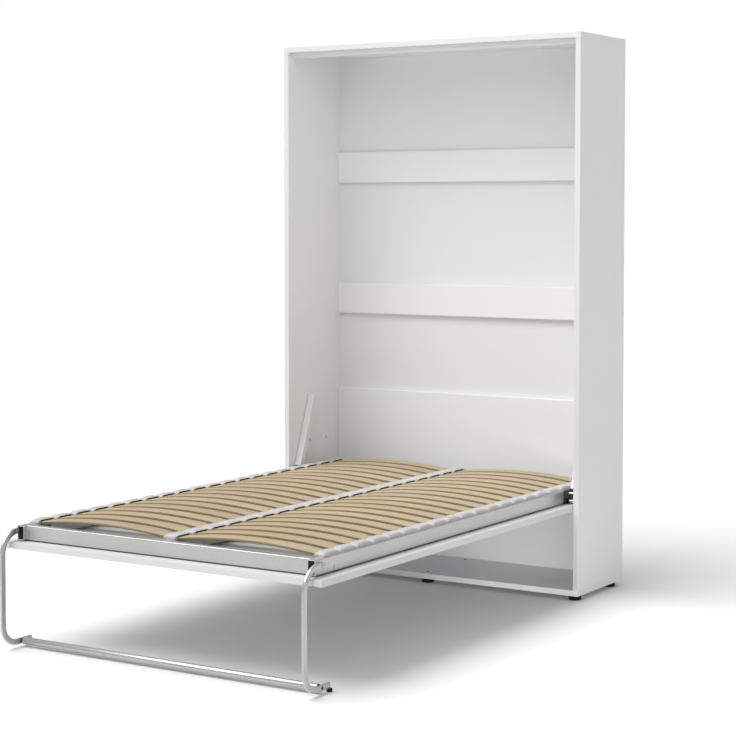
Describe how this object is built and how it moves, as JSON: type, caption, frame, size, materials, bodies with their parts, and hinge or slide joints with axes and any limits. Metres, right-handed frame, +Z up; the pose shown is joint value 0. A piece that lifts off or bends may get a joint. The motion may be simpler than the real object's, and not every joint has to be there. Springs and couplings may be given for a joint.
{
  "type": "wall bed",
  "caption": "Upright white cabinet with a slatted bed frame that folds down on side hinges and stands on a folding leg at its foot end.",
  "frame": {"origin": "floor level, in the middle of the whole object's width and depth with the bed open", "axes": "+X to the right seen from the foot end, +Y towards the wall behind the cabinet, +Z up"},
  "size_m": [1.37, 2.203, 2.188],
  "materials": {
    "white_board": "smooth white laminate on board",
    "back_board": "smooth white lacquered fibreboard",
    "door_board": "smooth white laminate on board",
    "dowel_wood": "plain turned beech",
    "slat_beech": "satin beech plywood",
    "frame_silver": "satin silver powder coat",
    "bracket_steel": "satin black coated steel",
    "zinc_steel": "bright zinc plate",
    "black_steel": "black oxide",
    "cover_white": "matt white",
    "white_plastic": "matt white, slightly translucent",
    "black_plastic": "matt black",
    "black_rubber": "matt black rubber",
    "cylinder_black": "black lacquer",
    "rod_chrome": "polished"
  },
  "bodies": {
    "cabinet": {"side_panel_left": "white_board", "side_panel_right": "white_board", "top_panel": "white_board", "bottom_panel": "white_board", "top_batten": "white_board", "back_panel": "back_board", "upper_back_rail": "white_board", "middle_back_rail": "white_board", "lower_back_board": "white_board", "carcass_screws": "zinc_steel", "rail_dowels": "dowel_wood", "back_panel_screws": "zinc_steel", "cabinet_feet": "black_plastic", "foot_adjusters": "black_plastic", "joining_bolts": "zinc_steel", "wall_bracket_left": "bracket_steel", "wall_bracket_right": "bracket_steel", "bracket_bolts": "black_steel", "hinge_pins": "zinc_steel", "spring_top_pins": "zinc_steel"},
    "bed": {"front_panel": "door_board", "side_rail_left": "frame_silver", "side_rail_right": "frame_silver", "foot_tube": "frame_silver", "head_tube": "frame_silver", "centre_rail": "frame_silver", "rail_end_plugs": "black_plastic", "frame_spacers": "black_plastic", "frame_clamps": "bracket_steel", "clamp_bolts": "black_steel", "clamp_nuts": "zinc_steel", "clamp_screws": "zinc_steel", "lift_plate_left": "bracket_steel", "lift_plate_right": "bracket_steel", "lift_plate_bolts": "black_steel", "lever_studs": "zinc_steel", "hinge_bushes": "black_plastic", "slat_holders_left": "white_plastic", "slat_holders_right": "white_plastic", "slat_holders_centre": "white_plastic", "slats_left": "slat_beech", "slats_right": "slat_beech", "leg_pivot_bolts": "zinc_steel", "leg_pivot_nuts": "zinc_steel", "leg_washers": "black_plastic"},
    "leg_frame": {"leg_left": "frame_silver", "leg_right": "frame_silver", "leg_crossbar": "frame_silver", "crossbar_plugs": "black_plastic", "crossbar_screws": "black_steel", "leg_glides": "black_rubber"},
    "cylinder_left": {"gas_cylinder_left": "cylinder_black", "spring_cover_left": "cover_white"},
    "cylinder_right": {"gas_cylinder_right": "cylinder_black", "spring_cover_right": "cover_white"},
    "piston_left": {"gas_rod_left": "rod_chrome"},
    "piston_right": {"gas_rod_right": "rod_chrome"}
  },
  "joints": [
    {"name": "bed_tilt", "type": "hinge", "parent": "cabinet", "child": "bed", "pos_m": [0, 0.728, 0.3835], "axis": [-1, 0, 0], "range_deg": [0, 90]},
    {"name": "leg_fold", "type": "hinge", "parent": "bed", "child": "leg_frame", "pos_m": [0, -0.9915, 0.406], "axis": [1, 0, 0], "range_deg": [0, 72]},
    {"name": "spring_swing_left", "type": "hinge", "parent": "cabinet", "child": "cylinder_left", "pos_m": [-0.654, 0.84087, 0.6936], "axis": [1, 0, 0], "range_deg": [0, 5.2]},
    {"name": "spring_swing_right", "type": "hinge", "parent": "cabinet", "child": "cylinder_right", "pos_m": [0.654, 0.84087, 0.6936], "axis": [1, 0, 0], "range_deg": [0, 5.2]},
    {"name": "rod_slide_left", "type": "slide", "parent": "cylinder_left", "child": "piston_left", "axis": [0, -0.342, -0.9397], "range_m": [0, 0.03137]},
    {"name": "rod_slide_right", "type": "slide", "parent": "cylinder_right", "child": "piston_right", "axis": [0, -0.342, -0.9397], "range_m": [0, 0.03137]}
  ],
  "couplings": [
    {"joint": "leg_fold", "follows": "bed_tilt", "ratio": 0.8},
    {"joint": "spring_swing_left", "follows": "bed_tilt", "ratio": 0.057716},
    {"joint": "spring_swing_right", "follows": "bed_tilt", "ratio": 0.057716},
    {"joint": "rod_slide_left", "follows": "bed_tilt", "m_per_rad": 0.019965},
    {"joint": "rod_slide_right", "follows": "bed_tilt", "m_per_rad": 0.019965}
  ]
}
